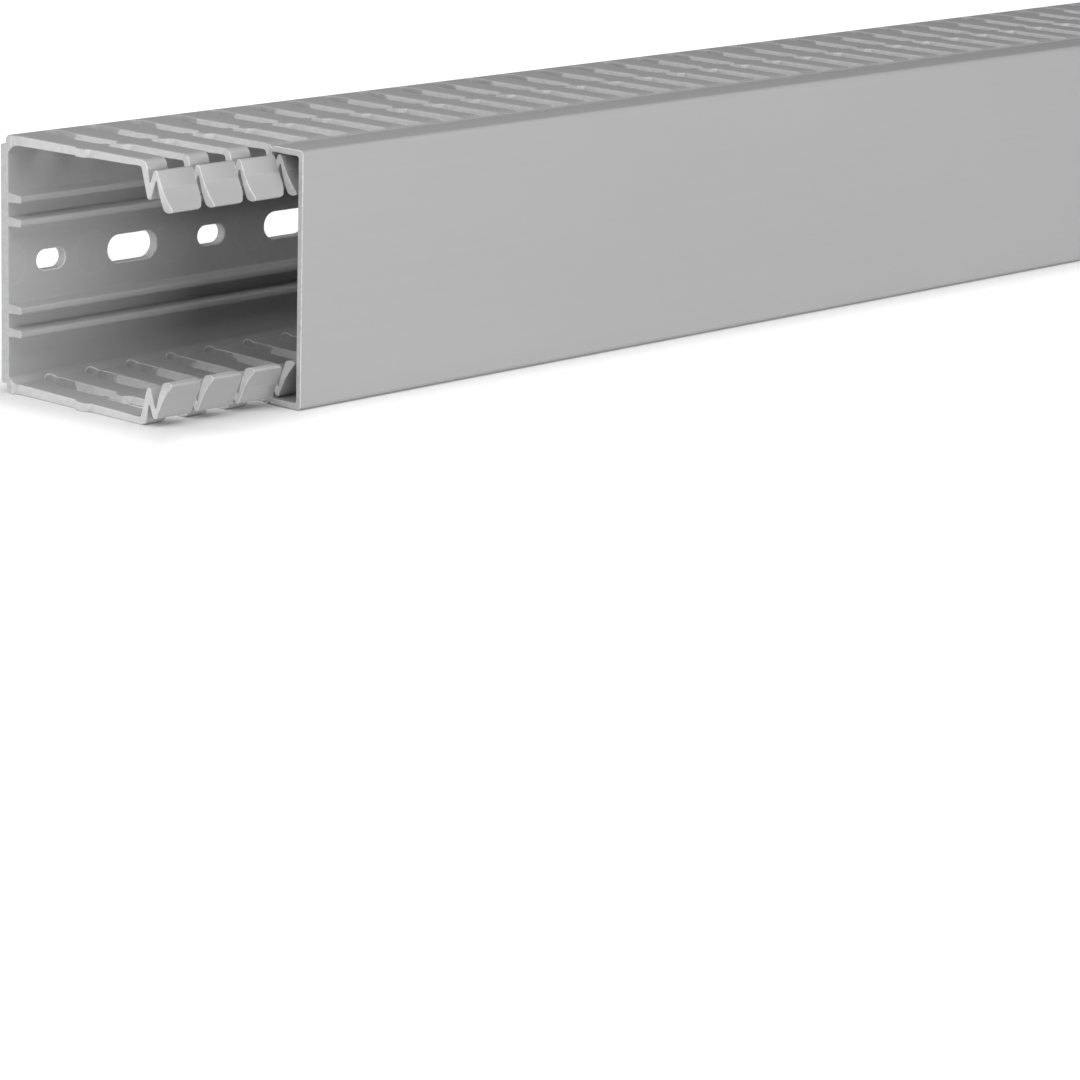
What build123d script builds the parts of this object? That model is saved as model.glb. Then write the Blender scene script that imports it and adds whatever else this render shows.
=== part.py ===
"""Slotted wire duct: a U-shaped trunking with two walls of snap fingers, and the cover that clips over them.

It lies on one slotted wall, as in the photo. X runs along the length, the base plate is at +Y, the cover
at -Y, and Z points up. The origin is the middle of the duct's footprint on the floor. Sizes are millimetres.
"""

import os
from math import acos, cos, sin

from build123d import *

os.makedirs("parts", exist_ok=True)

# Overall sizes
LENGTH = 500.0
WIDTH = 60.0
DEPTH = 60.0
COVER_SLIDE = 37.5

# Base plate, set in from the walls by a small step at both rear corners
BASE_THICKNESS = 2.6
CORNER_STEP = 2.3
CORNER_CHAMFER = 0.8
WALL_SET_FORWARD = 1.8
INNER_FILLET = 1.6

# Holding ribs on the base, in two pairs
RIB_HEIGHT = 4.5
RIB_ROOT = 2.2
RIB_TIP = 1.6
OUTER_RIB_OFFSET = 15.6
INNER_RIB_OFFSET = 10.1

# Slotted walls, thicker at the base than at the shoulder
WALL_ROOT = 2.4
WALL_FRONT = 1.7
SHOULDER_BEND = 2.0

# Snap fold: depths run inwards from the wall's outer face, forward sizes run from the shoulder's front
FOLD_THICKNESS = 1.7
BEND_BEVEL = 0.6
GROOVE_DEPTH = 5.4
GROOVE_FORWARD = 1.1
VALLEY_DEPTH = 9.0
VALLEY_FORWARD = 0.9
VALLEY_WIDTH = 1.0
PEAK_DEPTH = 2.0
PEAK_FORWARD = 2.5
PEAK_WIDTH = 0.9
TONGUE_BEND_DEPTH = 7.4
TONGUE_BEND_FORWARD = 6.1
TONGUE_DEPTH = 11.0
TONGUE_FORWARD = 9.0
TONGUE_TIP = 3.2

# Wall slots
SLOT_PITCH = 12.5
FIRST_SLOT = 11.2
SLOT_WIDTH = 4.6
SLOT_ROOT = 3.4
ROOT_FLAT = 2.0
ROOT_CORNER = 1.4
STEM_RELIEF = 1.8
WAIST_RELIEF = 1.3
WAIST_START = 11.0
NIB_START = 25.0
NIB_END = 28.4
NIB_SLOPE = 1.0
NIB_HEIGHT = 2.0
FACING_NIB_RISE = 0.3
HEAD_GAP = 1.9
HEAD_CORNER_RADIUS = 5.1
HEAD_CORNER_WIDTH = 3.1
HEAD_CORNER_FACETS = 2

# Fixing holes in the base, small and large in turn
HOLE_PITCH = 25.0
FIRST_HOLE = 12.7
SMALL_HOLE_LENGTH = 8.6
SMALL_HOLE_WIDTH = 4.8
LARGE_HOLE_LENGTH = 15.2
LARGE_HOLE_WIDTH = 6.6

# Cover, with a hook along each flange that rides in the fingers' groove
COVER_THICKNESS = 1.5
FLANGE_THICKNESS = 1.4
COVER_RADIUS = 1.2
COVER_INSET = 0.2
COVER_INNER_CHAMFER = 0.6
FLANGE_BEVEL = 0.4
LIP_FOLD_DEPTH = 0.5
LIP_FOLD_REACH = 0.5
HOOK_DEPTH = 2.9
HOOK_THICKNESS = 0.9
CLEARANCE = 0.35
TONGUE_GAP = 1.3

# Derived places
HALF = WIDTH / 2
NEAR_END = -(LENGTH + COVER_SLIDE) / 2
FAR_END = NEAR_END + LENGTH
FOLD_FRONT = DEPTH - COVER_THICKNESS - TONGUE_GAP
SHOULDER_REACH = FOLD_FRONT - TONGUE_FORWARD
VALLEY = SHOULDER_REACH + VALLEY_FORWARD
PEAK_BACK = SHOULDER_REACH + PEAK_FORWARD
TONGUE_BEND = SHOULDER_REACH + TONGUE_BEND_FORWARD
last_slot = int((LENGTH - FIRST_SLOT) // SLOT_PITCH)
slot_places = [FIRST_SLOT + SLOT_PITCH * i for i in range(-1, last_slot + 1)]
last_hole = int((LENGTH - FIRST_HOLE - LARGE_HOLE_LENGTH / 2) // HOLE_PITCH)
hole_places = [FIRST_HOLE + HOLE_PITCH * i for i in range(last_hole + 1)]


def section_plane(x):
    """Cross-section at x: local x runs forward from the base's back, local y is the height off mid."""
    return Plane(origin=(x, DEPTH / 2, HALF), x_dir=(0, -1, 0), z_dir=(-1, 0, 0))


def leg_at(depth):
    """How far forward the first leg's front face is, at a depth below the wall's outer face."""
    share = (depth - SHOULDER_BEND) / (GROOVE_DEPTH - SHOULDER_BEND)
    return SHOULDER_REACH + GROOVE_FORWARD * share


# Plan: local x runs from the near end, local y forward from the base's back
plan = Plane(origin=(NEAR_END, DEPTH / 2, HALF), x_dir=(1, 0, 0), z_dir=(0, 0, -1))
# Front: local x runs from the near end, local y is the height off mid
front = Plane(origin=(NEAR_END, DEPTH / 2, HALF), x_dir=(1, 0, 0), z_dir=(0, -1, 0))

with BuildPart() as trunking:
    # Base plate, then one wall with its thick inner corner and its snap fold, mirrored to the other side
    with BuildSketch(section_plane(FAR_END)):
        with Locations((BASE_THICKNESS / 2, 0)):
            Rectangle(BASE_THICKNESS, WIDTH - 2 * CORNER_STEP)
        with BuildLine():
            Polyline(
                (WALL_SET_FORWARD, HALF - WALL_ROOT),
                (WALL_SET_FORWARD, HALF - CORNER_CHAMFER),
                (WALL_SET_FORWARD + CORNER_CHAMFER, HALF),
                (SHOULDER_REACH - SHOULDER_BEND, HALF),
                (SHOULDER_REACH - BEND_BEVEL, HALF - BEND_BEVEL),
                (SHOULDER_REACH, HALF - SHOULDER_BEND),
                (leg_at(GROOVE_DEPTH), HALF - GROOVE_DEPTH),
                (PEAK_BACK, HALF - PEAK_DEPTH),
                (PEAK_BACK + PEAK_WIDTH, HALF - PEAK_DEPTH),
                (TONGUE_BEND, HALF - TONGUE_BEND_DEPTH),
                (FOLD_FRONT, HALF - TONGUE_DEPTH + BEND_BEVEL),
                (FOLD_FRONT - BEND_BEVEL, HALF - TONGUE_DEPTH),
                (FOLD_FRONT - TONGUE_TIP, HALF - TONGUE_DEPTH),
                (TONGUE_BEND - FOLD_THICKNESS, HALF - TONGUE_BEND_DEPTH),
                (PEAK_BACK + PEAK_WIDTH, HALF - PEAK_DEPTH - FOLD_THICKNESS),
                (VALLEY + VALLEY_WIDTH / 2, HALF - VALLEY_DEPTH),
                (VALLEY - VALLEY_WIDTH / 2, HALF - VALLEY_DEPTH),
                (SHOULDER_REACH - FOLD_THICKNESS, HALF - WALL_FRONT - BEND_BEVEL),
                (SHOULDER_REACH - FOLD_THICKNESS - BEND_BEVEL, HALF - WALL_FRONT),
                (BASE_THICKNESS + INNER_FILLET, HALF - WALL_ROOT),
                (BASE_THICKNESS, HALF - WALL_ROOT - INNER_FILLET),
                (WALL_SET_FORWARD, HALF - WALL_ROOT - INNER_FILLET),
                close=True,
            )
        make_face()
        mirror(about=Plane.XZ)
    extrude(amount=LENGTH)

    # Slots through both walls: narrow at the root, pinched by a facing pair of nibs, and widest from there on
    with BuildSketch(plan):
        for place in slot_places:
            left = place - SLOT_WIDTH / 2
            right = place + SLOT_WIDTH / 2
            nib = NIB_HEIGHT if right < LENGTH else 0
            with BuildLine():
                Polyline(
                    (place - ROOT_FLAT / 2, SLOT_ROOT),
                    (place + ROOT_FLAT / 2, SLOT_ROOT),
                    (right, SLOT_ROOT + ROOT_CORNER),
                    (right, NIB_START),
                    (right - nib, NIB_START + NIB_SLOPE),
                    (right - nib, NIB_END),
                    (right, NIB_END + NIB_SLOPE),
                    (right, PEAK_BACK),
                    (left - STEM_RELIEF, PEAK_BACK),
                    (left - STEM_RELIEF, NIB_END),
                    (left + FACING_NIB_RISE, NIB_END - NIB_SLOPE),
                    (left + FACING_NIB_RISE, NIB_START + NIB_SLOPE),
                    (left - WAIST_RELIEF, NIB_START),
                    (left - WAIST_RELIEF, WAIST_START),
                    (left, SLOT_ROOT + ROOT_CORNER),
                    close=True,
                )
            make_face()
    extrude(amount=WIDTH, both=True, mode=Mode.SUBTRACT)

    # Gaps between the heads: straight on one side, one large rounded corner on the other
    with BuildSketch(front.offset(PEAK_BACK)):
        tip = HALF - TONGUE_DEPTH
        turn = acos(1 - HEAD_CORNER_WIDTH / HEAD_CORNER_RADIUS)
        turns = [turn * k / HEAD_CORNER_FACETS for k in range(HEAD_CORNER_FACETS + 1)]
        for place in slot_places:
            right = place + SLOT_WIDTH / 2
            head = right - HEAD_GAP
            middle = head - HEAD_CORNER_RADIUS
            start = tip + HEAD_CORNER_RADIUS * sin(turn)
            corner = [
                (middle + HEAD_CORNER_RADIUS * cos(t), start - HEAD_CORNER_RADIUS * sin(t))
                for t in turns
            ]
            with BuildLine():
                Polyline((right, tip), (right, HALF), (head, HALF), *corner, close=True)
            make_face()
        mirror(about=Plane.XZ)
    extrude(amount=DEPTH - PEAK_BACK, mode=Mode.SUBTRACT)

    # The two pairs of holding ribs, standing on the base
    with BuildSketch(section_plane(FAR_END)):
        for middle in (OUTER_RIB_OFFSET, INNER_RIB_OFFSET):
            with BuildLine():
                Polyline(
                    (BASE_THICKNESS, middle - RIB_ROOT / 2),
                    (BASE_THICKNESS + RIB_HEIGHT, middle - RIB_TIP / 2),
                    (BASE_THICKNESS + RIB_HEIGHT, middle + RIB_TIP / 2),
                    (BASE_THICKNESS, middle + RIB_ROOT / 2),
                    close=True,
                )
            make_face()
        mirror(about=Plane.XZ)
    extrude(amount=LENGTH)

    # Fixing holes along the middle of the base
    with BuildSketch(front):
        for i, place in enumerate(hole_places):
            with Locations((place, 0)):
                if i % 2 == 0:
                    SlotOverall(SMALL_HOLE_LENGTH, SMALL_HOLE_WIDTH)
                else:
                    SlotOverall(LARGE_HOLE_LENGTH, LARGE_HOLE_WIDTH)
    extrude(amount=BASE_THICKNESS, mode=Mode.SUBTRACT)

trunking.part.label = "trunking"
export_step(trunking.part, "parts/trunking.step")

with BuildPart() as cover:
    # Front panel, flanges, and at each flange's end a fold that makes the hook and a raised lip
    outer = HALF - COVER_INSET
    under = outer - FLANGE_THICKNESS
    flange_end = SHOULDER_REACH + CLEARANCE
    hook_back = leg_at(HOOK_DEPTH) + CLEARANCE
    hook_front = hook_back + HOOK_THICKNESS
    panel_back = DEPTH - COVER_THICKNESS
    with BuildSketch(section_plane(FAR_END + COVER_SLIDE)):
        with BuildLine():
            panel = Line((DEPTH, 0), (DEPTH, outer - COVER_RADIUS))
            corner = RadiusArc(panel @ 1, (DEPTH - COVER_RADIUS, outer), -COVER_RADIUS)
            Polyline(
                corner @ 1,
                (hook_front + LIP_FOLD_REACH, outer),
                (hook_front, outer - LIP_FOLD_DEPTH),
                (flange_end + FLANGE_BEVEL, HALF),
                (flange_end, HALF - FLANGE_BEVEL),
                (flange_end, under),
                (hook_back, HALF - HOOK_DEPTH + FLANGE_BEVEL),
                (hook_back + FLANGE_BEVEL, HALF - HOOK_DEPTH),
                (hook_front, HALF - HOOK_DEPTH + FLANGE_BEVEL),
                (hook_front, under),
                (panel_back - COVER_INNER_CHAMFER, under),
                (panel_back, under - COVER_INNER_CHAMFER),
                (panel_back, 0),
                panel @ 0,
            )
        make_face()
        mirror(about=Plane.XZ)
    extrude(amount=LENGTH)

cover.part.label = "cover"
export_step(cover.part, "parts/cover.step")
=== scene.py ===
# %% [markdown]
# # Slotted wire duct
#
# A short length of plastic wiring duct lies on one of its slotted walls. The **trunking** is an
# extruded U that was punched afterwards, so its skin is smooth and satin while every cut face is
# paler and rough. The **cover** is a second extrusion, pushed along by 37.5 mm, so that three
# fingers of each wall show bare.
#
# The CAD solids set the sizes. Their bends have only a few flat facets, because eighty fingers
# share them. A bevel on the solids would round the edges but not the bends, so this script bends
# each finger again as a real strip, and gives both profiles their rounded corners.

# %% Load the CAD frame
import math

import bmesh
import bpy
from mathutils import Matrix, Vector


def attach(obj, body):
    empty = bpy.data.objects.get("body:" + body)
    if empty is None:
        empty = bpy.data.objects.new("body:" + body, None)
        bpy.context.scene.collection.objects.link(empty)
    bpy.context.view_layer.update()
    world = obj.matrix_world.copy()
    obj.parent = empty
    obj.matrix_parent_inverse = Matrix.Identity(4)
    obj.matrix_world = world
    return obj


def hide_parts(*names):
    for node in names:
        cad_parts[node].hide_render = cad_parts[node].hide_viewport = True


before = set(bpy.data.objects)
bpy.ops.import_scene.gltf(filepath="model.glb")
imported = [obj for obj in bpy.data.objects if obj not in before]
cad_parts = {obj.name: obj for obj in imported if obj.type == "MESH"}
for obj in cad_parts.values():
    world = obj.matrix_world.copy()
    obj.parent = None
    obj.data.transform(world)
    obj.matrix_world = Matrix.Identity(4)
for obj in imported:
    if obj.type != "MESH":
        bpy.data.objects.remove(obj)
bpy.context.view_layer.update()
print("CAD nodes:", sorted(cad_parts))

# %% [markdown]
# ## Directions and overall size
#
# Duct is drawn by its section, so three directions of its own are handier than x, y and z. Here
# `s` runs along the duct from its near end, `u` runs forward from the back of the base, and `v`
# is the height above (+) or below (-) the middle plane, all in millimetres. `place` turns them
# into a point in Blender's metres, and no object has to be moved or turned afterwards.

# %% Overall size
MM = 0.001
LENGTH = 500.0
DEPTH = 60.0
HALF = 30.0
COVER_SLIDE = 37.5
NEAR_END = -(LENGTH + COVER_SLIDE) / 2


def place(s, u, v):
    return Vector(((NEAR_END + s) * MM, (DEPTH / 2 - u) * MM, (HALF + v) * MM))


print("near end at x =", round(NEAR_END * MM, 4), "m")

# %% [markdown]
# ## Rounded outlines
#
# A die has no perfectly sharp corners, and a bent finger has none at all. The bevel operator
# could round the corners of a line, but it takes one width at a time and its new points have to
# be sorted afterwards. `round_corners` gives each corner its own radius and every arc the same
# number of points, so that the outer and inner faces of the snap fold can be paired later. A
# radius of 0 leaves a corner as it is.

# %% Arcs at corners
ARC_LIMIT = 0.49  # an arc uses at most this share of the sides beside its corner


def arc_at(before, corner, after, radius, steps):
    """Points of the arc that rounds one corner, from the incoming to the outgoing side."""
    corner = Vector(corner)
    to_before = Vector(before) - corner
    to_after = Vector(after) - corner
    half_angle = to_before.angle(to_after) / 2
    longest = ARC_LIMIT * min(to_before.length, to_after.length)
    reach = min(radius / math.tan(half_angle), longest)
    radius = reach * math.tan(half_angle)
    to_before.normalize()
    to_after.normalize()
    middle = corner + (to_before + to_after).normalized() * (radius / math.sin(half_angle))
    start = corner + to_before * reach - middle
    sweep = start.angle_signed(corner + to_after * reach - middle)
    turns = [-sweep * i / (steps - 1) for i in range(steps)]
    return [middle + Matrix.Rotation(turn, 2) @ start for turn in turns]


def round_corners(corners, steps):
    """A line through (point, radius) corners."""
    line = []
    for i, (point, radius) in enumerate(corners):
        if radius == 0:
            line.append(Vector(point))
        else:
            line += arc_at(corners[i - 1][0], point, corners[i + 1][0], radius, steps)
    return line


sample = round_corners([((0, 0), 0), ((10, 0), 2), ((10, 10), 0)], 5)
print("a rounded corner:", [tuple(round(c, 2) for c in p) for p in sample])

# %% [markdown]
# ## Stations of the snap finger
#
# One finger is a strip. Going out from the root it runs along the wall, is pinched by a nib on
# either side, turns over the shoulder, dives into the wall, comes back up to the peak and ends
# in the tongue. The cover's hook sits in the groove between shoulder and peak.
#
# It could be cut from a bent sheet with booleans, but their seams shade badly on tight bends.
# Here the strip is described by **stations** instead. Each has a point on the outer face, a
# point on the inner face, and how far its two edges are from the middles of the slots.

# %% A station
class Station:
    """One cross-section of a finger. Its turn says which way the slot's outline faces there."""

    def __init__(self, outer, inner, near, far, turn=math.pi / 2):
        self.outer = Vector(outer)
        self.inner = Vector(inner)
        self.near = near
        self.far = far
        self.turn = turn


plain = Station((0, 0), (0, 1), 0, 0)
print("the edges of a plain station are turned by", round(math.degrees(plain.turn)), "degrees")

# %% The wall's thickness
BASE = 2.6
INNER_FILLET = 1.6
WALL_ROOT = 2.4
WALL_FRONT = 1.7
SLOT_ROOT = 3.4
SHOULDER = 48.2


def wall_inner(u):
    """Height of a wall's inner face above mid, with the thick corner at the base."""
    share = (u - SLOT_ROOT) / (SHOULDER - SLOT_ROOT)
    thickness = WALL_ROOT + (WALL_FRONT - WALL_ROOT) * share
    corner = max(0.0, BASE + INNER_FILLET - u)
    return HALF - thickness - corner


print("wall thickness:", [round(HALF - wall_inner(u), 2) for u in (BASE + INNER_FILLET, SHOULDER)])

# %% [markdown]
# ## Along the wall
#
# The punch leaves a slot with a round root, a slightly wider waist, and a nib on either side
# that keeps wires from slipping out. A nib could be a bump that is added afterwards, but it is
# cut in one stroke with the slot, and a bump would leave a seam on the sheared face. So two
# tables say how far each edge stands back from the plain slot, at a distance from the base, and
# a nib is one short dip in the numbers.

# %% Stations from the slot's root to the shoulder
SLOT_RADIUS = 2.3
ROOT_END = 5.7
ROOT_STEPS = 8
STEM_RELIEF = 1.8
PLAIN_ROWS = {18.0, 36.0, 43.0}
NEAR_EDGE = [
    (ROOT_END, 0), (24.6, 0), (25.2, -0.5), (25.7, -1.5), (26.2, -1.95),
    (27.9, -1.95), (28.5, -1.7), (29.0, -0.6), (29.6, 0), (DEPTH, 0),
]
FAR_EDGE = [
    (ROOT_END, 0), (8.2, 0.15), (10.0, 0.7), (11.5, 1.1), (14.0, 1.3), (24.7, 1.35),
    (25.2, 1.15), (25.7, 0.2), (26.2, -0.3), (27.1, -0.3), (27.7, 0.2), (28.2, 1.4),
    (28.7, STEM_RELIEF), (DEPTH, STEM_RELIEF),
]


def along(table, at):
    """Straight interpolation in a table of pairs."""
    for (a, low), (b, high) in zip(table, table[1:]):
        if at <= b:
            return low + (high - low) * max(0.0, at - a) / (b - a)
    return table[-1][1]


def wall_stations():
    """Stations round half of the slot's rounded root, and then along the flat of the wall."""
    stations = []
    for i in range(ROOT_STEPS + 1):
        turn = math.pi / 2 * i / ROOT_STEPS
        u = SLOT_ROOT + SLOT_RADIUS * (1 - math.cos(turn))
        gap = SLOT_RADIUS * math.sin(turn)
        stations.append(Station((u, HALF), (u, wall_inner(u)), gap, gap, turn))
    rows = {u for u, offset in NEAR_EDGE + FAR_EDGE if ROOT_END < u < SHOULDER}
    for u in sorted(rows | PLAIN_ROWS):
        near = SLOT_RADIUS + along(NEAR_EDGE, u)
        far = SLOT_RADIUS + along(FAR_EDGE, u)
        stations.append(Station((u, HALF), (u, wall_inner(u)), near, far))
    return stations


print(len(wall_stations()), "stations along the wall")

# %% [markdown]
# ## Over the fold
#
# In front of the shoulder the strip is folded like a zig-zag. Its outer and inner faces are two
# lines with as many corners, so rounding both gives pairs of points, and the fold's thickness
# follows the photo instead of being the same everywhere. From the peak on the strip is wider:
# that is the head, with one square and one rounded corner.

# %% Stations from the shoulder to the tip
BEND_STEPS = 9
HEAD_GAP = 1.9
HEAD_CORNER_RADIUS = 5.1
HEAD_CORNER_WIDTH = 3.1
TONGUE_DEPTH = 11.0
# Each corner of the fold is (forward of the shoulder, depth below the wall's face, radius).
OUTER_FOLD = [
    (-4.5, 0, 0), (0, 0, 1.9), (1.15, 5.6, 0.25), (2.95, 0.95, 0.7),
    (5.8, 7.0, 16), (9.0, 10.6, 0.45), (7.5, TONGUE_DEPTH, 0),
]
INNER_FOLD = [
    (-4.5, WALL_FRONT, 0), (-1.7, WALL_FRONT, 0.7), (0.95, 10.2, 0.65), (3.35, 3.7, 0.3),
    (4.4, 7.8, 12), (5.75, 10.7, 0.9), (7.3, TONGUE_DEPTH, 0),
]
PEAK = 1 + 2 * BEND_STEPS + BEND_STEPS // 2  # the middle point of the third bend


def fold_line(fold):
    """One line of the fold as (u, v) points."""
    corners = [((SHOULDER + ahead, HALF - depth), radius) for ahead, depth, radius in fold]
    return round_corners(corners, BEND_STEPS)


def head_inset(down):
    """How far the head's far edge draws in, at a depth below the wall's outer face."""
    turn = math.acos(1 - HEAD_CORNER_WIDTH / HEAD_CORNER_RADIUS)
    start = TONGUE_DEPTH - HEAD_CORNER_RADIUS * math.sin(turn)
    height = min(max(0.0, down - start), HEAD_CORNER_RADIUS)
    return HEAD_CORNER_RADIUS - math.sqrt(HEAD_CORNER_RADIUS**2 - height**2)


def fold_stations():
    """Stations over the shoulder, through the groove, and down the wider tongue."""
    stations = []
    for i, (front, back) in enumerate(zip(fold_line(OUTER_FOLD), fold_line(INNER_FOLD))):
        if i <= PEAK:
            stations.append(Station(front, back, SLOT_RADIUS, SLOT_RADIUS + STEM_RELIEF))
        if i >= PEAK:
            far = HEAD_GAP - SLOT_RADIUS + head_inset(HALF - (front.y + back.y) / 2)
            stations.append(Station(front, back, SLOT_RADIUS, far))
    return stations


finger = wall_stations() + fold_stations()
print(len(finger), "stations in a finger, to u =", round(finger[-1].outer.x, 1))

# %% [markdown]
# ## Growing a ring
#
# Every part of this duct is a section that is carried along, so one tool makes them all. A ring
# of edges is extruded, the new ring is moved to its place, and each new side gets a material.
# The faces keep their pairing at every bend, which bridging two finished loops may lose. An
# operator takes longer the larger its mesh is, so each part grows in a small mesh of its own and
# is joined to the others when it is finished.

# %% Extrude a ring of edges
def twins_of(mesh, edges):
    """Extrudes edges, and returns the new vertex of each old one."""
    old = {vert for edge in edges for vert in edge.verts}
    made = bmesh.ops.extrude_edge_only(mesh, edges=edges)["geom"]
    new = {item for item in made if isinstance(item, bmesh.types.BMVert)}
    twins = {}
    for vert in old:
        beside = [edge.other_vert(vert) for edge in vert.link_edges]
        twins[vert] = next(other for other in beside if other in new)
    return twins


def ring_of(mesh, points):
    """A closed ring of vertices and edges."""
    ring = [mesh.verts.new(point) for point in points]
    for pair in zip(ring, ring[1:] + ring[:1]):
        mesh.edges.new(pair)
    return ring


def grow(mesh, ring, points, materials, only=None):
    """Extrudes a ring, or only some of its sides, to new points, with a material for each side."""
    following = ring[1:] + ring[:1]
    sides = {i: mesh.edges.get((ring[i], following[i])) for i in only or range(len(ring))}
    twins = twins_of(mesh, list(sides.values()))
    for vert, point in zip(ring, points):
        if vert in twins:
            twins[vert].co = point
    for i, side in sides.items():
        face = next(face for face in side.link_faces if twins[ring[i]] in face.verts)
        face.material_index = materials[i]
    return [twins.get(vert) for vert in ring]


trial = bmesh.new()
square = ring_of(trial, [(0, 0, 0), (1, 0, 0), (1, 1, 0), (0, 1, 0)])
grow(trial, square, [(0, 0, 1), (1, 0, 1), (1, 1, 1), (0, 1, 1)], [0] * 4)
print("a square ring grown once:", len(trial.verts), "vertices,", len(trial.faces), "faces")
trial.free()

# %% [markdown]
# ## Bending the strips
#
# Each station becomes a ring of eight points with bevelled edges. The strip's two sides were
# sheared by the punch, so they get the *cut* material, while its two broad faces keep the
# extruded *skin*. Round the slots' roots and on the heads the bevels between them get the *rim*
# material, because plastic turns white where it is sheared at an edge. The same stations serve
# all fingers, and the lower wall is the upper one mirrored.

# %% Materials round a strip
SKIN, CUT, RIM = 0, 1, 2
ROOT_SIDES = [SKIN, SKIN, CUT, RIM, SKIN, RIM, CUT, SKIN]
WALL_SIDES = [SKIN, SKIN, CUT, CUT, SKIN, CUT, CUT, SKIN]
HEAD_SIDES = [SKIN, RIM, CUT, RIM, SKIN, RIM, CUT, RIM]
WHITENED_TO = 9.0
HEAD_FROM = SHOULDER - 0.5


def sides_at(station):
    """Materials of the eight sides of a strip."""
    if station.outer.x < WHITENED_TO:
        return ROOT_SIDES
    return WALL_SIDES if station.outer.x < HEAD_FROM else HEAD_SIDES


for station in (finger[0], finger[len(finger) // 4], finger[-1]):
    print("materials at u", round(station.outer.x, 1), "are", sides_at(station))

# %% The ring at a station
PITCH = 12.5
EDGE_BEVEL = 0.17
BEVEL_LIMIT = 1 / 3  # a bevel takes at most this share of the strip's width or thickness
TINY = 1e-6


def edge_points(station, s, inwards, bevel, turn):
    """Four (s, point) pairs down one bevelled edge, from the outer face to the inner face."""
    across = s + inwards * bevel * math.sin(turn)
    back = bevel * math.cos(turn)
    outer, inner = station.outer, station.inner
    thickness = inner - outer
    lip = thickness.normalized() * min(bevel, thickness.length * BEVEL_LIMIT)
    top = Vector((outer.x - back, outer.y))
    foot = inner
    if back > TINY:
        foot = Vector((inner.x - back, wall_inner(inner.x - back)))
    return [(across, top), (s, outer + lip), (s, inner - lip), (across, foot)]


def strip_ring(station, near_slot, side, bevel=EDGE_BEVEL):
    """Eight points round a station, or None beyond the saw. What the saw cut faces along s."""
    start = max(0.0, near_slot + station.near)
    end = min(LENGTH, near_slot + PITCH - station.far)
    if start >= end:
        return None
    bevel = min(bevel, (end - start) * BEVEL_LIMIT)
    near_turn = math.pi / 2 if start == 0.0 else station.turn
    far_turn = math.pi / 2 if end == LENGTH else station.turn
    near = edge_points(station, start, 1, bevel, near_turn)
    far = edge_points(station, end, -1, bevel, far_turn)
    return [place(s, p.x, side * p.y) for s, p in [near[0]] + far + near[:0:-1]]


print("a finger's first point:", tuple(round(c, 4) for c in strip_ring(finger[0], 0.0, 1)[0]))

# %% All fingers
FIRST_SLOT = 11.2
FINGERS = 40
LEDGE = 3.0
BROAD_SIDES = [0, 4]
FAR_SIDES = [1, 2, 3]
NEAR_SIDES = [5, 6, 7]
root = Station((LEDGE, HALF), (LEDGE, wall_inner(LEDGE)), 0, 0)


def join(mesh, part):
    """Moves a finished part into a larger mesh."""
    data = bpy.data.meshes.new("part")
    part.to_mesh(data)
    part.free()
    mesh.from_mesh(data)
    bpy.data.meshes.remove(data)


def add_finger(mesh, index, side):
    """A finger between slot index - 1 and slot index, on the upper (+1) or lower (-1) wall."""
    near_slot = FIRST_SLOT + PITCH * (index - 1)
    part = bmesh.new()
    ring = ring_of(part, strip_ring(finger[0], near_slot, side))
    rooted = list(BROAD_SIDES)
    if index == 0:
        rooted += NEAR_SIDES
    if index == FINGERS:
        rooted += FAR_SIDES
    grow(part, ring, strip_ring(root, near_slot, side, bevel=0), ROOT_SIDES, rooted)
    for here, there in zip(finger, finger[1:]):
        points = strip_ring(there, near_slot, side)
        if points is None:
            break
        ring = grow(part, ring, points, sides_at(here))
    part.faces.new(ring).material_index = RIM
    join(mesh, part)


trunking = bmesh.new()
for side in (1, -1):
    for index in range(FINGERS + 1):
        add_finger(trunking, index, side)
print("fingers:", len(trunking.faces), "faces")

# %% [markdown]
# ## Base plate, ribs and wall roots
#
# The rest of the trunking is one section carried along the duct: the base with its four holding
# ribs, the stepped rear corners, and both walls up to just below the slots. The strip between
# the inner ribs is left out, because the screw holes are punched through it. The ribs could be
# boxes that are set on a plate, but their joints would be sharp where the die's are rounded. One
# extruded section is what the real machine makes, and it is the shortest way here too.

# %% Half of the base's section
WALL_BACK = 1.8
CORNER_STEP = 2.3
CORNER_CHAMFER = 0.8
RIB_HEIGHT = 4.5
RIB_ROOT = 2.2
RIB_TIP = 1.6
RIB_OFFSETS = (15.6, 10.1)
RIB_ROOT_RADIUS = 0.35
RIB_TIP_RADIUS = 0.45
RIB_ROOM = 0.4
INNER_RADIUS = 0.8
CHAMFER_RADIUS = 0.4
STEP_ROOT_RADIUS = 0.15
STEP_TIP_RADIUS = 0.35
FIELD = RIB_OFFSETS[1] - RIB_ROOT / 2 - RIB_ROOM  # half the width that the holes are punched in
SECTION_STEPS = 4


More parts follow.
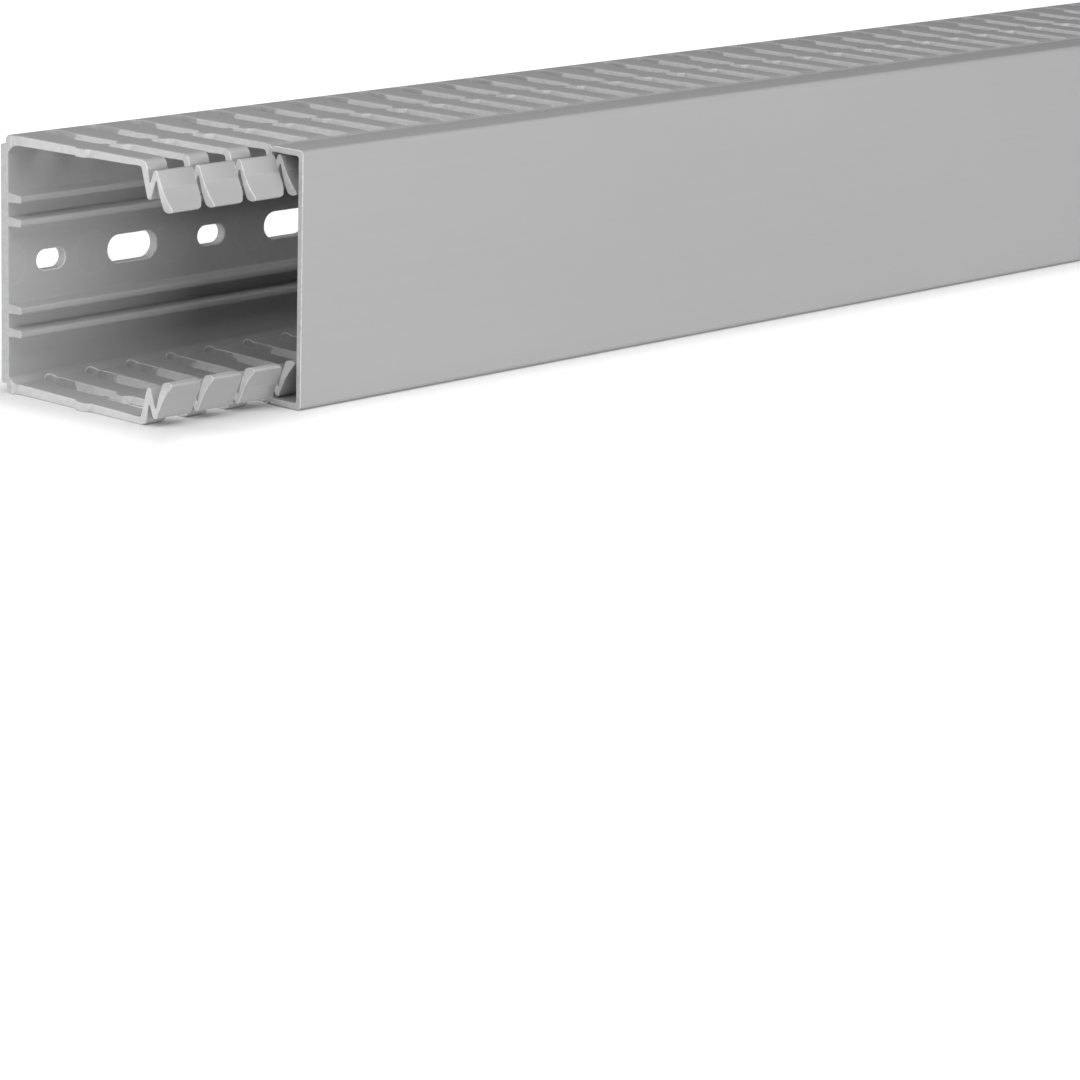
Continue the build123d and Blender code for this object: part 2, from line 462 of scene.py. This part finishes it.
def section_half():
    """Half of the section, from the edge of the drilled field round to the same edge behind."""
    corners = [((BASE, FIELD), 0)]
    tip = BASE + RIB_HEIGHT
    for offset in RIB_OFFSETS[::-1]:
        corners += [
            ((BASE, offset - RIB_ROOT / 2), RIB_ROOT_RADIUS),
            ((tip, offset - RIB_TIP / 2), RIB_TIP_RADIUS),
            ((tip, offset + RIB_TIP / 2), RIB_TIP_RADIUS),
            ((BASE, offset + RIB_ROOT / 2), RIB_ROOT_RADIUS),
        ]
    corners += [
        ((BASE, HALF - WALL_ROOT - INNER_FILLET), INNER_RADIUS),
        ((LEDGE, wall_inner(LEDGE)), 0),
        ((LEDGE, HALF), 0),
        ((WALL_BACK + CORNER_CHAMFER, HALF), CHAMFER_RADIUS),
        ((WALL_BACK, HALF - CORNER_CHAMFER), CHAMFER_RADIUS),
        ((WALL_BACK, HALF - CORNER_STEP), STEP_ROOT_RADIUS),
        ((0, HALF - CORNER_STEP), STEP_TIP_RADIUS),
        ((0, FIELD), 0),
    ]
    return round_corners(corners, SECTION_STEPS)


upper = section_half()
lower = [Vector((p.x, -p.y)) for p in upper]
print("section of", len(upper) + len(lower), "points")

# %% Extrude it from slot to slot
def sweep(mesh, line, stops):
    """Extrudes an open line of (u, v) along s, and returns its first and last rows."""
    first = [mesh.verts.new(place(stops[0], p.x, p.y)) for p in line]
    row = first
    ledges = [a.x == b.x == LEDGE for a, b in zip(line, line[1:])]
    pairs = [i for i, ledge in enumerate(ledges) if not ledge]  # the fingers cover the ledge
    for i in pairs:
        mesh.edges.new((row[i], row[i + 1]))
    for here, there in zip(stops, stops[1:]):
        twins = twins_of(mesh, [mesh.edges.get((row[i], row[i + 1])) for i in pairs])
        row = [twins[vert] for vert in row]
        bmesh.ops.translate(mesh, vec=((there - here) * MM, 0, 0), verts=row)
    return first, row


stops = [0.0] + [FIRST_SLOT + PITCH * i for i in range(FINGERS)] + [LENGTH]
base = bmesh.new()
upper_ends = sweep(base, upper, stops)
lower_ends = sweep(base, lower, stops)
for row_up, row_down in zip(upper_ends, lower_ends):
    base.faces.new(row_up + row_down[::-1]).material_index = CUT
print("section extruded over", len(stops), "places, with two sawn ends")

# %% [markdown]
# ## Screw holes
#
# Small and large slotted holes alternate every 25 mm. They could be cut with a boolean, whose
# long thin triangles would show as streaks on the smooth base. So each hole sits in its own
# cell of the drilled field: a ring round the cell's rectangle grows in to the hole's outline,
# over a small bevel, through the plate, and out again to the same rectangle behind.

# %% Outlines of a hole and its cell
HOLE_STEPS = 14
FAR_AWAY = 1e9


def hole_outline(length, width, grown):
    """A slotted hole about its own middle, as (s, v), grown outwards by a bevel."""
    radius = width / 2 + grown
    reach = length / 2 - width / 2
    points = []
    for end, first in ((reach, -math.pi / 2), (-reach, math.pi / 2)):
        for i in range(HOLE_STEPS + 1):
            turn = first + math.pi * i / HOLE_STEPS
            points.append((end + radius * math.cos(turn), radius * math.sin(turn)))
    return points


def cell_outline(points, near, far):
    """Where rays from the hole's middle through its outline meet the cell, corners kept."""
    edge = []
    for x, y in points:
        to_end = (far if x > 0 else -near) / abs(x) if x else FAR_AWAY
        to_side = FIELD / abs(y) if y else FAR_AWAY
        reach = min(to_end, to_side)
        edge.append([x * reach, y * reach])
    for corner in ((far, -FIELD), (far, FIELD), (near, FIELD), (near, -FIELD)):
        nearest = min(edge, key=lambda p: (p[0] - corner[0]) ** 2 + (p[1] - corner[1]) ** 2)
        nearest[:] = corner
    return edge


print("a hole's outline has", len(hole_outline(2.0, 1.0, 0.0)), "points")

# %% Punch the base
HOLE_PITCH = 25.0
FIRST_HOLE = 12.7
HOLES = 20
HOLE_BEVEL = 0.22
SMALL_HOLE = (8.6, 4.8)
LARGE_HOLE = (15.2, 6.6)


def add_hole_cell(mesh, middle, size, near, far):
    """One cell of the drilled field, from near to far about the hole's middle."""
    plain = hole_outline(*size, 0.0)
    wide = hole_outline(*size, HOLE_BEVEL)
    edge = cell_outline(wide, near, far)
    ring = ring_of(mesh, [place(middle + x, BASE, y) for x, y in edge])
    levels = [
        (wide, BASE, SKIN), (plain, BASE - HOLE_BEVEL, RIM), (plain, HOLE_BEVEL, CUT),
        (wide, 0.0, RIM), (edge, 0.0, SKIN),
    ]
    for outline, u, material in levels:
        points = [place(middle + x, u, y) for x, y in outline]
        ring = grow(mesh, ring, points, [material] * len(ring))


for i in range(HOLES):
    middle = FIRST_HOLE + HOLE_PITCH * i
    near = 0.0 if i == 0 else middle - HOLE_PITCH / 2
    far = LENGTH if i == HOLES - 1 else middle + HOLE_PITCH / 2
    size = SMALL_HOLE if i % 2 == 0 else LARGE_HOLE
    add_hole_cell(base, middle, size, near - middle, far - middle)
print("base with", HOLES, "holes:", len(base.faces), "faces")
join(trunking, base)

# %% [markdown]
# ## Cover
#
# The cover is one closed section with rounded front corners. Near its end each flange is folded
# inwards to make the hook that reaches into the fingers' groove, and the lip beyond the fold
# stands up again outside. A flat panel with two bent edges would look the same from in front,
# but the open end shows the whole section, so the section is grown in three steps, with a fine
# bevel at each sawn end.

# %% The cover's section
COVER_THICKNESS = 1.5
FLANGE_THICKNESS = 1.4
COVER_INSET = 0.2
HOOK_DEPTH = 2.9
HOOK_THICKNESS = 0.9
HOOK_BARB = 0.25
LIP_FOLD = 0.5
LIP_STEP = 0.35
LIP_EDGE = 0.4
CLEARANCE = 0.35
GROOVE_START = 2.0
GROOVE_LEAN = 1.1 / 3.4
COVER_STEPS = 6

outer = HALF - COVER_INSET
under = outer - FLANGE_THICKNESS
panel_back = DEPTH - COVER_THICKNESS
flange_end = SHOULDER + CLEARANCE
hook_back = flange_end + GROOVE_LEAN * (HOOK_DEPTH - GROOVE_START)
hook_front = hook_back + HOOK_THICKNESS


def mirrored(half):
    """A closed outline from its upper half, whose two ends lie on the middle plane."""
    return half + [Vector((p.x, -p.y)) for p in half[-2:0:-1]]


# Each corner is ((u, v), radius), from the front's middle to the panel's inner face.
section = mirrored(round_corners([
    ((DEPTH, 0), 0),
    ((DEPTH, outer), 1.2),
    ((hook_front + LIP_FOLD, outer), 0.4),
    ((hook_front, outer - LIP_FOLD), 0.12),
    ((flange_end + LIP_STEP, HALF), 0.25),
    ((flange_end, HALF - LIP_EDGE), 0.2),
    ((flange_end, under), 0.1),
    ((hook_back, HALF - HOOK_DEPTH), 0.3),
    ((hook_front, HALF - HOOK_DEPTH + HOOK_BARB), 0.2),
    ((hook_front, under), 0.2),
    ((panel_back, under), 0.7),
    ((panel_back, 0), 0),
], COVER_STEPS))
print("cover section of", len(section), "points, flange ends at u =", round(flange_end, 2))

# %% Extrude the cover
END_BEVEL = 0.15


def inset(line, amount):
    """A closed line moved inwards by a small amount, corner by corner."""
    moved = []
    for before, point, after in zip(line[-1:] + line[:-1], line, line[1:] + line[:1]):
        arrive = (point - before).normalized()
        leave = (after - point).normalized()
        inward = Vector((-arrive.y - leave.y, arrive.x + leave.x)).normalized()
        moved.append(point + inward * amount)
    return moved


def cover_points(s, line):
    return [place(COVER_SLIDE + s, p.x, p.y) for p in line]


small = inset(section, END_BEVEL)
cover = bmesh.new()
ring = ring_of(cover, cover_points(0, small))
sawn_ends = [ring]
for s, line, material in (
    (END_BEVEL, section, RIM), (LENGTH - END_BEVEL, section, SKIN), (LENGTH, small, RIM),
):
    ring = grow(cover, ring, cover_points(s, line), [material] * len(line))
sawn_ends.append(ring)
for ring in sawn_ends:
    cover.faces.new(ring).material_index = CUT
print("cover:", len(cover.faces), "faces")

# %% [markdown]
# ## From mesh to pieces
#
# Each real profile is a single piece of plastic, so points that meet are welded and the fingers
# grow out of the base without a seam. Then all faces are turned outwards. Shading is smooth
# across the bends and sharp at the edges, which costs fewer faces than rounding every edge.
# Each piece takes the place of its CAD node and rides on the same body.

# %% Make the two pieces
WELD = 0.00002
FLAT = WELD / 4
SHARP = math.radians(38)


def make_piece(name, mesh, body):
    bmesh.ops.remove_doubles(mesh, verts=mesh.verts, dist=WELD)
    bmesh.ops.dissolve_degenerate(mesh, edges=mesh.edges, dist=FLAT)
    bmesh.ops.recalc_face_normals(mesh, faces=mesh.faces)
    for face in mesh.faces:
        face.smooth = True
    data = bpy.data.meshes.new(name)
    mesh.to_mesh(data)
    mesh.free()
    data.set_sharp_from_angle(angle=SHARP)
    piece = bpy.data.objects.new(name, data)
    bpy.context.scene.collection.objects.link(piece)
    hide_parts(body)
    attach(piece, body)
    return piece


trunking_piece = make_piece("trunking_profile", trunking, "trunking")
cover_piece = make_piece("cover_profile", cover, "cover")
for piece in (trunking_piece, cover_piece):
    print(piece.name, len(piece.data.polygons), "faces")

# %% [markdown]
# ## Shader maths
#
# Plastic that came out of a die is never one flat colour, and its marks are best written as
# formulas. Dragging nodes by hand would do the same, but a formula is easier to read and to
# change. `Wire` wraps a node's socket so that it can be added and multiplied like a number,
# `Nodes` holds one method for every other kind of node, and `Material` adds what a plastic
# needs. The patterns use object coordinates, so they stay on the duct in every pose.

# %% Sockets that can be calculated with
class Wire:
    """A node socket that can be used in arithmetic."""

    def __init__(self, nodes, socket):
        self.nodes = nodes
        self.socket = socket

    def math(self, operation, *others):
        inputs = dict(enumerate((self, *others)))
        return self.nodes.node("ShaderNodeMath", {"operation": operation}, inputs)

    def __add__(self, other):
        return self.math("ADD", other)

    def __sub__(self, other):
        return self.math("SUBTRACT", other)

    def __rsub__(self, other):
        return self.math("MULTIPLY", -1.0).math("ADD", other)

    def __mul__(self, other):
        return self.math("MULTIPLY", other)

    __radd__ = __add__
    __rmul__ = __mul__

    def step(self, low, high):
        """0 below low, 1 above high, smooth between; with low above high it falls instead."""
        smooth = {"interpolation_type": "SMOOTHSTEP"}
        sockets = {"Value": self, "From Min": low, "From Max": high}
        return self.nodes.node("ShaderNodeMapRange", smooth, sockets)

    def near(self, value, width):
        """1 where this is close to value, fading to 0 at width away."""
        return (self - value).math("ABSOLUTE").step(width, 0.0)


print("a wire has:", [name for name in vars(Wire) if not name.startswith("_")])

# %% Node trees
class Nodes:
    """The nodes of a material or of the world."""

    def __init__(self, data):
        self.data = data
        self.data.use_nodes = True

    def set(self, node, sockets):
        """Fills a node's sockets with values, or links them."""
        for name, value in sockets.items():
            if isinstance(value, Wire):
                self.data.node_tree.links.new(value.socket, node.inputs[name])
            else:
                node.inputs[name].default_value = value

    def node(self, kind, settings, sockets, output=0):
        """A new node of this kind, with its settings made before its sockets."""
        node = self.data.node_tree.nodes.new(kind)
        for name, value in settings.items():
            setattr(node, name, value)
        self.set(node, sockets)
        return Wire(self, node.outputs[output])

    def seen_by(self, *rays):
        """1 for rays of the given sorts, and 0 for all others."""
        sorts = [self.node("ShaderNodeLightPath", {}, {}, f"Is {ray} Ray") for ray in rays]
        seen = sorts[0]
        for sort in sorts[1:]:
            seen = seen.math("MAXIMUM", sort)
        return seen


print("a node tree has:", [name for name in vars(Nodes) if not name.startswith("_")])

# %% Plastics
class Material(Nodes):
    """A procedural plastic: its surface node, object coordinates, and noise on them."""

    def __init__(self, name, tint, roughness, specular):
        super().__init__(bpy.data.materials.new(name))
        self.data.diffuse_color = (*tint, 1)
        self.tint = tint
        self.surface = self.data.node_tree.nodes["Principled BSDF"]
        self.set(self.surface, {
            "Base Color": (*tint, 1), "Roughness": roughness, "Specular IOR Level": specular,
        })
        self.position = self.node("ShaderNodeTexCoord", {}, {}, "Object")
        self.x, self.y, self.z = [
            self.node("ShaderNodeSeparateXYZ", {}, {0: self.position}, axis) for axis in "XYZ"
        ]

    def noise(self, scale, detail, stretch=(1, 1, 1)):
        """Noise from 0 to 1, with scale features a metre, lengthened along an axis by stretch."""
        squeeze = [1 / factor for factor in stretch]
        spot = self.node("ShaderNodeMapping", {}, {"Vector": self.position, "Scale": squeeze})
        sockets = {"Vector": spot, "Scale": scale, "Detail": detail}
        return self.node("ShaderNodeTexNoise", {}, sockets, "Fac")

    def colour(self, brightness):
        """Base colour: the tint times a brightness."""
        sockets = {0: self.tint, "Scale": brightness}
        shade = self.node("ShaderNodeVectorMath", {"operation": "SCALE"}, sockets)
        self.set(self.surface, {"Base Color": shade})

    def bump(self, height, distance):
        """Height from 0 to 1, over a distance in metres."""
        normal = self.node("ShaderNodeBump", {}, {"Height": height, "Distance": distance})
        self.set(self.surface, {"Normal": normal})


print("a material also has:", [name for name in vars(Material) if not name.startswith("_")])

# %% [markdown]
# ## Extruded skin
#
# Rigid PVC straight from the die is a neutral light grey with a soft sheen. The die leaves long
# faint lines along the duct, and handling leaves a few broad patches that are slightly more or
# less shiny. Noise that is stretched along x gives both without an image. On the base, the
# punch's pressure pads leave a faint ring midway between the holes, which is drawn from the
# distance to the nearest such point.

# %% Rings on the base
PRESS_RADIUS = 5.0
PRESS_WIDTH = 0.35
ON_BASE = 0.4


def press_rings(plastic):
    """1 on a thin ring midway between two holes, on the front of the base only."""
    from_first = plastic.x - (NEAR_END + FIRST_HOLE) * MM
    dx = from_first.math("WRAP", HOLE_PITCH * MM, 0.0) - HOLE_PITCH / 2 * MM
    dz = plastic.z - HALF * MM
    ring = (dx * dx + dz * dz).math("SQRT").near(PRESS_RADIUS * MM, PRESS_WIDTH * MM)
    return ring * plastic.y.near((DEPTH / 2 - BASE) * MM, ON_BASE * MM)


print("press rings of", 2 * PRESS_RADIUS, "mm across")

# %% Skin materials
PVC = (0.452, 0.450, 0.456)
SATIN = 0.4
SATIN_SPECULAR = 0.42
DIE_LINES = {"scale": 900, "detail": 4, "stretch": (120, 1, 1)}
FINE_LINES = {"scale": 2600, "detail": 2, "stretch": (14, 1, 1)}
HANDLED = {"scale": 28, "detail": 3, "stretch": (2.5, 1, 1)}
SKIN_DARKEST, LINE_SHADE, FINE_SHADE, PATCH_SHADE, PRESS_SHADE = 0.943, 0.04, 0.025, 0.05, 0.07
SKIN_SMOOTHEST, PATCH_DULLS, FINE_DULLS = 0.34, 0.10, 0.06
SKIN_RELIEF, LINE_HEIGHT, FINE_HEIGHT, PRESS_HEIGHT = 0.000015, 0.6, 0.4, 0.8


def skin_material(name, with_rings):
    skin = Material(name, PVC, SATIN, SATIN_SPECULAR)
    lines, fine, patches = [skin.noise(**look) for look in (DIE_LINES, FINE_LINES, HANDLED)]
    brightness = lines * LINE_SHADE + fine * FINE_SHADE + patches * PATCH_SHADE + SKIN_DARKEST
    height = lines * LINE_HEIGHT + fine * FINE_HEIGHT
    if with_rings:
        mark = press_rings(skin)
        brightness = brightness + mark * PRESS_SHADE
        height = height + mark * PRESS_HEIGHT
    skin.colour(brightness)
    roughness = patches * PATCH_DULLS + fine * FINE_DULLS + SKIN_SMOOTHEST
    skin.set(skin.surface, {"Roughness": roughness})
    skin.bump(height, SKIN_RELIEF)
    return skin.data


trunking_skin = skin_material("trunking_skin", True)
cover_skin = skin_material("cover_skin", False)
print("skin materials:", trunking_skin.name, cover_skin.name)

# %% [markdown]
# ## Cut faces
#
# Where the saw or the punch went through, the plastic is paler and dull, with fine scores and tiny
# tears. On each finger's side the first 10 mm from the base is painted darker, a painted shade for
# the shadow in the slot's root, and beyond that the face is torn and almost white. One colour
# would make the fingers look moulded, so masks by distance from the base and from the sawn end set
# the two apart. They leave out the sawn ribs and the base's sawn edge, which no punch has touched.

# %% Where the punch went, and the painted shade near the base
# Painted shade: the walls' cut faces are darker within this distance of the base's back.
PAINTED_SHADE_END = 10.0
PAINTED_SHADE_FADE = 0.6
PAINTED_SHADE_WANDER = 6
# Each fade runs between two distances: from the base's back, the sawn end and the middle.
BASE_FADE = (BASE + 0.4, BASE + 0.9)
END_FADE = (1.2, 1.6)
RIBS_FADE = (19, 23)


def punched_sides_and_root_shade(cut, blotches):
    """Two masks: the side walls' cut faces, and the painted shade near the base on them."""
    forward = DEPTH / 2 * MM - cut.y
    edge = forward + (blotches - 0.5) * (PAINTED_SHADE_WANDER * MM)
    late, early = PAINTED_SHADE_END + PAINTED_SHADE_FADE, PAINTED_SHADE_END - PAINTED_SHADE_FADE
    off_end = cut.x.step(*[(NEAR_END + s) * MM for s in END_FADE])
    off_base = forward.step(*[u * MM for u in BASE_FADE])
    off_ribs = (cut.z - HALF * MM).math("ABSOLUTE").step(*[v * MM for v in RIBS_FADE])
    return off_base * off_ribs, edge.step(late * MM, early * MM) * off_end


print("burnished up to", PAINTED_SHADE_END, "mm from the base's back")

# %% Cut materials
CUT_PVC = (0.575, 0.572, 0.579)
DULL = 0.6
DULL_SPECULAR = 0.35
TEARS = {"scale": 1100, "detail": 3, "stretch": (1, 1.8, 1)}
SCORES = {"scale": 3000, "detail": 1, "stretch": (1, 1, 6)}
BLOTCHES = {"scale": 240, "detail": 2}
TORN_BETWEEN = (0.40, 0.64)
CUT_DARKEST, TORN_SHADE, SCORE_SHADE, BLOTCH_SHADE = 0.87, 0.09, 0.05, 0.12
PUNCHED_SHADE, PAINTED_SHADE_DEPTH, PAINTED_SHADE_TEARS = 0.22, 0.12, 0.6
CUT_SMOOTHEST, TORN_DULLS = 0.56, 0.15
CUT_RELIEF, TEAR_HEIGHT, SCORE_HEIGHT = 0.00004, 0.7, 0.3


def cut_material(name, with_whitening_and_shade):
    cut = Material(name, CUT_PVC, DULL, DULL_SPECULAR)
    tears, scores, blotches = [cut.noise(**look) for look in (TEARS, SCORES, BLOTCHES)]
    torn = tears.step(*TORN_BETWEEN)
    brightness = torn * TORN_SHADE + scores * SCORE_SHADE + blotches * BLOTCH_SHADE + CUT_DARKEST
    if with_whitening_and_shade:
        sides, painted_shade = punched_sides_and_root_shade(cut, blotches)
        # Painted shade: darker near the base, patchy with the tears.
        darker = painted_shade * (tears * PAINTED_SHADE_TEARS + PAINTED_SHADE_DEPTH)
        brightness = brightness + sides * (PUNCHED_SHADE - darker)
    cut.colour(brightness)
    cut.set(cut.surface, {"Roughness": torn * TORN_DULLS + CUT_SMOOTHEST})
    cut.bump(tears * TEAR_HEIGHT + scores * SCORE_HEIGHT, CUT_RELIEF)
    return cut.data


trunking_cut = cut_material("trunking_cut", True)
cover_cut = cut_material("cover_cut", False)
print("cut materials:", trunking_cut.name, cover_cut.name)

# %% [markdown]
# ## Whitened rims
#
# Round the slots' roots, on the heads and at the holes the sheared edge itself is
# stress-whitened, and shows as a thin bright line. It could be a mask on how sharply the
# surface turns, but that depends on how fine the mesh is, so the bevelled edges have a material
# of their own. A few nicks in it keep the line from looking drawn.

# %% Rim material
RIM_PVC = (0.80, 0.797, 0.804)
NICKS = {"scale": 700, "detail": 2}
NICKED_BETWEEN = (0.30, 0.62)
NICK_DEPTH = 0.22


def rim_material():
    rim = Material("whitened_rim", RIM_PVC, DULL, DULL_SPECULAR)
    rim.colour(rim.noise(**NICKS).step(*NICKED_BETWEEN) * NICK_DEPTH + (1 - NICK_DEPTH))
    return rim.data


whitened_rim = rim_material()
print("rim material:", whitened_rim.name)

# %% Put the materials on
def put_on(data, *materials):
    """Fills the slots in the order that the faces count them in: SKIN, CUT and RIM."""
    for material in materials:
        data.materials.append(material)


put_on(trunking_piece.data, trunking_skin, trunking_cut, whitened_rim)
put_on(cover_piece.data, cover_skin, cover_cut, whitened_rim)
for body, skin in (("trunking", trunking_skin), ("cover", cover_skin)):
    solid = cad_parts[body].data
    solid.materials.clear()
    put_on(solid, skin)
for piece in (trunking_piece, cover_piece):
    used = [face.material_index for face in piece.data.polygons]
    print(piece.name, "has", [used.count(slot) for slot in (SKIN, CUT, RIM)], "faces by slot")

# %% [markdown]
# ## Floor and background
#
# The photo is a cut-out on white. A floor that is white by light alone would make the duct too
# light as well. So the floor is pale, still takes a soft contact shadow, and glows a little for
# the camera and in what a gloss mirrors, without lighting the duct from below. The glow is weaker
# near the duct and missing under it, which paints a darker shadow round and under the duct;
# without that the lower slots would show a white line.
#
# The world is white to the camera too, but not in the gloss: seen at a flat angle the duct's
# top would mirror it and turn as light as the front. Inside the duct the photo falls off to
# nearly black behind the cover, so the world's own light is weak.

# %% Floor
FLOOR_SIZE = 14.0
PAPER = (0.8, 0.8, 0.8)
PAPER_ROUGHNESS = 0.9
PAPER_SPECULAR = 0.2
WHITE = (1, 1, 1)
GLOW_NEAR = 0.5
GLOW_FAR = 1.0
# Where the glow begins, and where it reaches its full strength, in metres from the middle.
DUCT_EDGE_X, DUCT_EDGE_Y = (0.262, 0.290), (0.020, 0.045)
SHADOW_EDGE_X, SHADOW_EDGE_Y = (0.3, 0.8), (0.08, 0.5)

floor_mesh = bmesh.new()
bmesh.ops.create_grid(floor_mesh, x_segments=2, y_segments=2, size=FLOOR_SIZE / 2)
floor_data = bpy.data.meshes.new("floor")
floor_mesh.to_mesh(floor_data)
floor_mesh.free()
floor = bpy.data.objects.new("floor", floor_data)
bpy.context.scene.collection.objects.link(floor)

paper = Material("paper", PAPER, PAPER_ROUGHNESS, PAPER_SPECULAR)
aside, away = paper.x.math("ABSOLUTE"), paper.y.math("ABSOLUTE")
# Painted shadow: less glow near the duct and none under it.
outside = aside.step(*DUCT_EDGE_X).math("MAXIMUM", away.step(*DUCT_EDGE_Y))
far_off = aside.step(*SHADOW_EDGE_X).math("MAXIMUM", away.step(*SHADOW_EDGE_Y))
seen = paper.seen_by("Camera", "Glossy", "Transmission")
strength = seen * (far_off * (GLOW_FAR - GLOW_NEAR) + outside * GLOW_NEAR)
glow = paper.node("ShaderNodeVectorMath", {"operation": "SCALE"}, {0: WHITE, "Scale": strength})
paper.set(paper.surface, {"Emission Color": glow, "Emission Strength": 1.0})
floor_data.materials.append(paper.data)
print("floor of", FLOOR_SIZE, "m")

# %% World
WORLD_STRENGTH = 0.12

studio = Nodes(bpy.data.worlds.new("studio"))
sky = studio.seen_by("Camera", "Transmission") * (1.0 - WORLD_STRENGTH) + WORLD_STRENGTH
background = studio.data.node_tree.nodes["Background"]
studio.set(background, {"Color": (*WHITE, 1), "Strength": sky})
bpy.context.scene.world = studio.data
print("world strength", WORLD_STRENGTH)

# %% [markdown]
# ## Lamps
#
# A product photo is lit by large soft panels, because a small lamp would leave hard glints on
# satin plastic. A broad low panel straight in front gives most of the light and reaches into
# the open end. The others light the top, the sawn faces on the left, and the back.

# %% Panels
# Each panel has a name, a place, a target, its width and height in metres, and its watts.
PANELS = [
    ("low front panel", (-0.12, -1.25, 0.14), (-0.15, 0, 0.04), 1.15, 0.26, 5.65),
    ("high front panel", (-0.45, -0.62, 1.05), (-0.2, 0, 0.04), 2.0, 0.7, 11),
    ("back panel", (-0.80, 1.15, 0.40), (-0.1, 0, 0.03), 1.1, 0.7, 8.5),
    ("side panel", (-1.15, -0.1, 0.55), (-0.25, 0, 0.04), 0.7, 0.7, 2.2),
]


def add_panel(name, location, target, width, height, watts):
    """A rectangular area light that faces the target, with its width level."""
    data = bpy.data.lights.new(name, "AREA")
    data.shape = "RECTANGLE"
    data.size = width
    data.size_y = height
    data.energy = watts
    light = bpy.data.objects.new(name, data)
    light.location = location
    heading = Vector(target) - Vector(location)
    light.rotation_euler = heading.to_track_quat("-Z", "Y").to_euler()
    bpy.context.scene.collection.objects.link(light)


for panel in PANELS:
    add_panel(*panel)
print(len(PANELS), "panels,", round(sum(panel[-1] for panel in PANELS), 2), "watts together")

# %% [markdown]
# ## Camera
#
# The place, the lens and the three angles were solved from the photo's perspective, with the
# duct's height and depth of 60 mm as the known sizes. Turning the camera by eye would come
# close, but the edges would drift away from the photo's along the duct.

# %% Camera at the photo's angle
CAMERA_PLACE = (-0.91914, -0.74558, 0.21793)
CAMERA_LENS = 148.74
SENSOR = 36
CLIP = (0.05, 50)
YAW, PITCH_DOWN, ROLL = [math.radians(angle) for angle in (-47.06, 13.97, 1.43)]

heading = Vector((-math.sin(YAW), math.cos(YAW), 0))
level = Vector((math.cos(YAW), math.sin(YAW), 0))
forward = heading * math.cos(PITCH_DOWN) - Vector((0, 0, 1)) * math.sin(PITCH_DOWN)
upright = level.cross(forward)
right = level * math.cos(ROLL) + upright * math.sin(ROLL)
up = upright * math.cos(ROLL) - level * math.sin(ROLL)

camera = bpy.data.objects.new("camera", bpy.data.cameras.new("camera"))
camera.data.lens = CAMERA_LENS
camera.data.sensor_width = SENSOR
camera.data.clip_start, camera.data.clip_end = CLIP
camera.matrix_world = Matrix((right, up, -forward)).transposed().to_4x4()
camera.location = CAMERA_PLACE
bpy.context.scene.collection.objects.link(camera)
bpy.context.scene.camera = camera
bpy.context.scene.view_settings.view_transform = "Standard"
print("camera at", CAMERA_PLACE, "lens", CAMERA_LENS, "mm")
